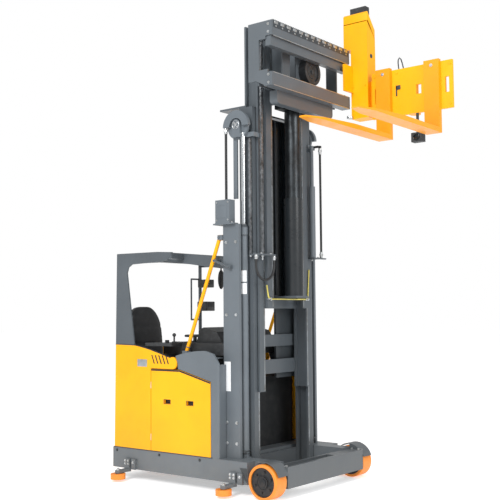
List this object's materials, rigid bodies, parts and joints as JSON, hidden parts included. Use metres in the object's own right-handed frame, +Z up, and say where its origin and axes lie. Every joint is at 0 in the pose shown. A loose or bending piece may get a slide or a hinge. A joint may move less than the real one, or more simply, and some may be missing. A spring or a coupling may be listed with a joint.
{
  "type": "three-way electric pallet stacker with seated operator",
  "caption": "Electric three-way stacker with a seated operator, a three-stage mast and a turning fork head that slides across its front.",
  "frame": {"origin": "on the floor in the middle of the whole truck's length and width", "axes": "+X forward to the mast, +Y to the truck's left, +Z up"},
  "size_m": [2.979, 1.836, 4.552],
  "materials": {
    "dark_grey_paint": "satin",
    "yellow_paint": "gloss",
    "orange_tyre": "matte",
    "hub_iron": "matte",
    "chrome_rod": "polished",
    "brass": "satin",
    "black_plastic": "matte",
    "seat_leather": "matte"
  },
  "bodies": {
    "truck": {"chassis_frame": "dark_grey_paint", "load_wheel_beam": "dark_grey_paint", "load_axles": "dark_grey_paint", "guide_roller_brackets": "dark_grey_paint", "drive_mount": "dark_grey_paint", "battery": "black_plastic", "rear_cover": "yellow_paint", "cab_floor": "dark_grey_paint", "seat_cushion": "seat_leather", "seat_backrest": "seat_leather", "console": "black_plastic", "front_panels": "dark_grey_paint", "overhead_guard": "dark_grey_paint", "terminals": "black_plastic", "mirror": "black_plastic", "mast_columns": "dark_grey_paint", "mast_braces": "yellow_paint", "outer_mast": "dark_grey_paint", "lift_cylinder_tubes": "dark_grey_paint"},
    "right_load_wheel": {"load_wheel_hub_right": "hub_iron", "load_tyre_right": "orange_tyre"},
    "left_load_wheel": {"load_wheel_hub_left": "hub_iron", "load_tyre_left": "orange_tyre"},
    "roller_rear_right": {"guide_roller_rear_right": "orange_tyre"},
    "roller_front_right": {"guide_roller_front_right": "orange_tyre"},
    "roller_rear_left": {"guide_roller_rear_left": "orange_tyre"},
    "roller_front_left": {"guide_roller_front_left": "orange_tyre"},
    "steered_unit": {"drive_unit": "dark_grey_paint", "traction_motor": "dark_grey_paint"},
    "driven_wheel": {"drive_wheel": "orange_tyre"},
    "right_door": {"battery_door_right": "yellow_paint"},
    "left_door": {"battery_door_left": "yellow_paint"},
    "hand_wheel": {"steering_wheel": "black_plastic"},
    "raised_mast": {"middle_mast": "dark_grey_paint", "lift_rods": "chrome_rod", "sheave_brackets": "dark_grey_paint", "lift_chains": "dark_grey_paint", "side_cylinder": "dark_grey_paint", "mast_hoses": "black_plastic"},
    "top_mast": {"inner_mast": "dark_grey_paint", "mast_screen": "black_plastic", "free_lift_cylinder": "dark_grey_paint", "mast_pipe": "brass"},
    "free_lift": {"free_lift_plunger": "chrome_rod"},
    "lift_carriage": {"traverse_frame": "dark_grey_paint", "traverse_motor": "black_plastic"},
    "side_shift": {"traverse_carriage": "yellow_paint", "swivel_motor": "black_plastic"},
    "turning_head": {"fork_head": "yellow_paint", "fork_1": "yellow_paint", "fork_2": "yellow_paint", "fork_camera": "black_plastic"}
  },
  "joints": [
    {"name": "right_load_wheel_spin", "type": "hinge", "parent": "truck", "child": "right_load_wheel", "pos_m": [0.34, -0.687, 0.15], "axis": [0, 1, 0], "continuous": true},
    {"name": "left_load_wheel_spin", "type": "hinge", "parent": "truck", "child": "left_load_wheel", "pos_m": [0.34, 0.687, 0.15], "axis": [0, 1, 0], "continuous": true},
    {"name": "roller_rear_right_spin", "type": "hinge", "parent": "truck", "child": "roller_rear_right", "pos_m": [-1.301, -0.848, 0.048], "axis": [0, 0, 1], "continuous": true},
    {"name": "roller_front_right_spin", "type": "hinge", "parent": "truck", "child": "roller_front_right", "pos_m": [-0.008, -0.848, 0.048], "axis": [0, 0, 1], "continuous": true},
    {"name": "roller_rear_left_spin", "type": "hinge", "parent": "truck", "child": "roller_rear_left", "pos_m": [-1.301, 0.848, 0.048], "axis": [0, 0, 1], "continuous": true},
    {"name": "roller_front_left_spin", "type": "hinge", "parent": "truck", "child": "roller_front_left", "pos_m": [-0.008, 0.848, 0.048], "axis": [0, 0, 1], "continuous": true},
    {"name": "drive_steer", "type": "hinge", "parent": "truck", "child": "steered_unit", "pos_m": [-1.23, -0.16, 0.465], "axis": [0, 0, 1], "range_deg": [-90, 90]},
    {"name": "drive_wheel_spin", "type": "hinge", "parent": "steered_unit", "child": "driven_wheel", "pos_m": [-1.23, -0.16, 0.172], "axis": [0, 1, 0], "continuous": true},
    {"name": "right_door_hinge", "type": "hinge", "parent": "truck", "child": "right_door", "pos_m": [-1.002, -0.71, 0.67], "axis": [0, 0, -1], "range_deg": [0, 100]},
    {"name": "left_door_hinge", "type": "hinge", "parent": "truck", "child": "left_door", "pos_m": [-1.002, 0.71, 0.67], "axis": [0, 0, 1], "range_deg": [0, 100]},
    {"name": "hand_wheel_turn", "type": "hinge", "parent": "truck", "child": "hand_wheel", "pos_m": [-0.79, -0.33, 1.352], "axis": [0, 0, 1], "continuous": true},
    {"name": "mast_lift", "type": "slide", "parent": "truck", "child": "raised_mast", "axis": [0, 0, 1], "range_m": [-0.74, 1.15]},
    {"name": "inner_mast_lift", "type": "slide", "parent": "raised_mast", "child": "top_mast", "axis": [0, 0, 1], "range_m": [-0.74, 1.15]},
    {"name": "carriage_lift", "type": "slide", "parent": "top_mast", "child": "lift_carriage", "axis": [0, 0, 1], "range_m": [-1.6, 0]},
    {"name": "free_lift_stroke", "type": "slide", "parent": "top_mast", "child": "free_lift", "axis": [0, 0, 1], "range_m": [-0.8, 0]},
    {"name": "side_traverse", "type": "slide", "parent": "lift_carriage", "child": "side_shift", "axis": [0, 1, 0], "range_m": [-1.12, 0]},
    {"name": "head_swivel", "type": "hinge", "parent": "side_shift", "child": "turning_head", "pos_m": [1.046, 0.745, 3.64], "axis": [0, 0, 1], "range_deg": [0, 180]}
  ],
  "couplings": [
    {"joint": "inner_mast_lift", "follows": "mast_lift", "ratio": 1},
    {"joint": "free_lift_stroke", "follows": "carriage_lift", "ratio": 0.5}
  ]
}
